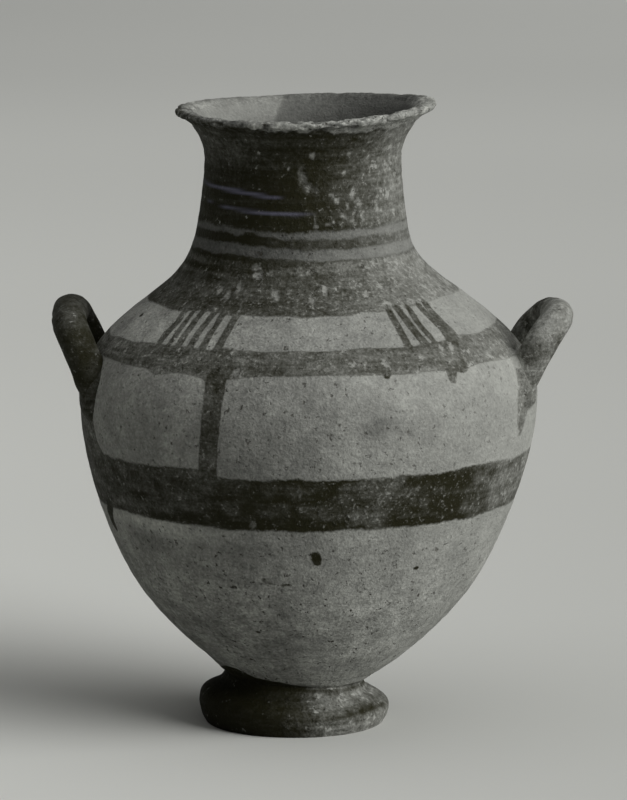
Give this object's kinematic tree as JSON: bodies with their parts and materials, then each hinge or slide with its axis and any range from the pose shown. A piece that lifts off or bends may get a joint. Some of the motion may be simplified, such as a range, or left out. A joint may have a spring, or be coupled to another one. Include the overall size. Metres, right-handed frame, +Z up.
{
  "type": "amphoriskos",
  "caption": "Small hand-thrown clay jar with a narrow neck, a flared rim, a disc foot and an upright loop handle on each side of its shoulder, for holding oil or scent.",
  "frame": {"origin": "on the surface the foot rests on, under the middle of the jar measured over its handles", "axes": "+Z up the jar towards its mouth, +X through the right handle as seen from the front, +Y from the front to the back"},
  "size_m": [0.1463, 0.1286, 0.1766],
  "materials": {
    "dark_slip": "matte",
    "wiped_clay": "matte",
    "painted_clay": "matte",
    "worn_slip": "matte",
    "handle_slip": "matte"
  },
  "bodies": {
    "root": {"foot": "dark_slip", "foot_luting": "wiped_clay", "body": "painted_clay", "neck_luting": "worn_slip", "neck": "dark_slip", "left_handle": "handle_slip", "left_handle_front_root": "handle_slip", "left_handle_back_root": "handle_slip", "right_handle": "handle_slip", "right_handle_front_root": "handle_slip", "right_handle_back_root": "handle_slip"}
  },
  "joints": []
}
